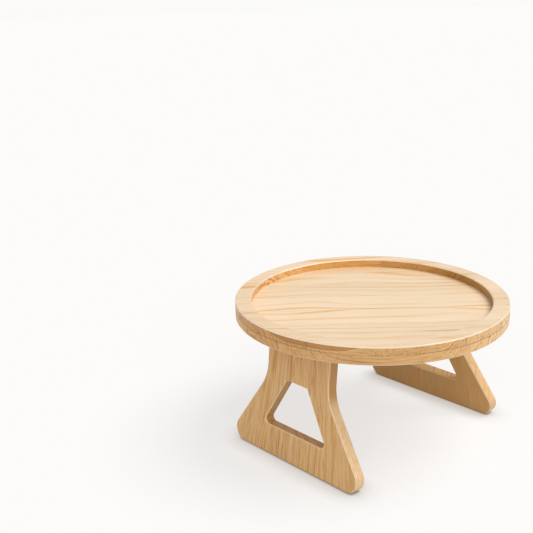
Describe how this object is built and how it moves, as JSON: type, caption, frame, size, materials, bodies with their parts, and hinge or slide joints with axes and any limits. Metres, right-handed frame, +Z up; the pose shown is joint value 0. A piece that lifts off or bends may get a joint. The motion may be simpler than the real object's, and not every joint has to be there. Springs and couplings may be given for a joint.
{
  "type": "sofa arm tray",
  "caption": "Round wooden tray with a raised rim on two splayed legs with windows, which straddle a sofa arm and fold flat under the tray on butt hinges.",
  "frame": {"origin": "on the floor under the centre of the tray, legs open", "axes": "+Z up, +X towards the right leg, +Y along the hinge pins"},
  "size_m": [0.3, 0.3, 0.16],
  "materials": {
    "base_wood": "fine straight grain under a clear satin lacquer",
    "rim_wood": "fine straight grain under a clear satin lacquer, with darker end grain",
    "leg_wood": "upright grain under a clear satin lacquer",
    "hinge_metal": "zinc plated and slightly dull",
    "screw_metal": "zinc plated and slightly dull"
  },
  "bodies": {
    "tray": {"base_stave_1": "base_wood", "base_stave_2": "base_wood", "base_stave_3": "base_wood", "base_stave_4": "base_wood", "base_stave_5": "base_wood", "base_stave_6": "base_wood", "base_stave_7": "base_wood", "rim_stave_front": "rim_wood", "rim_stave_back": "rim_wood", "rim_stave_left_1": "rim_wood", "rim_stave_left_2": "rim_wood", "rim_stave_left_3": "rim_wood", "rim_stave_left_4": "rim_wood", "rim_stave_left_5": "rim_wood", "rim_stave_left_6": "rim_wood", "rim_stave_right_1": "rim_wood", "rim_stave_right_2": "rim_wood", "rim_stave_right_3": "rim_wood", "rim_stave_right_4": "rim_wood", "rim_stave_right_5": "rim_wood", "rim_stave_right_6": "rim_wood", "left_front_tray_leaf": "hinge_metal", "left_rear_tray_leaf": "hinge_metal", "right_front_tray_leaf": "hinge_metal", "right_rear_tray_leaf": "hinge_metal", "left_front_hinge_pin": "hinge_metal", "left_rear_hinge_pin": "hinge_metal", "right_front_hinge_pin": "hinge_metal", "right_rear_hinge_pin": "hinge_metal", "tray_screws": "screw_metal"},
    "left_leg": {"left_leg": "leg_wood", "left_front_leg_leaf": "hinge_metal", "left_rear_leg_leaf": "hinge_metal", "left_leg_screws": "screw_metal"},
    "right_leg": {"right_leg": "leg_wood", "right_front_leg_leaf": "hinge_metal", "right_rear_leg_leaf": "hinge_metal", "right_leg_screws": "screw_metal"}
  },
  "joints": [
    {"name": "left_leg_fold", "type": "hinge", "parent": "tray", "child": "left_leg", "pos_m": [-0.0965, 0, 0.1383], "axis": [0, -1, 0], "range_deg": [0, 96]},
    {"name": "right_leg_fold", "type": "hinge", "parent": "tray", "child": "right_leg", "pos_m": [0.0965, 0, 0.1383], "axis": [0, 1, 0], "range_deg": [0, 81.5]}
  ]
}
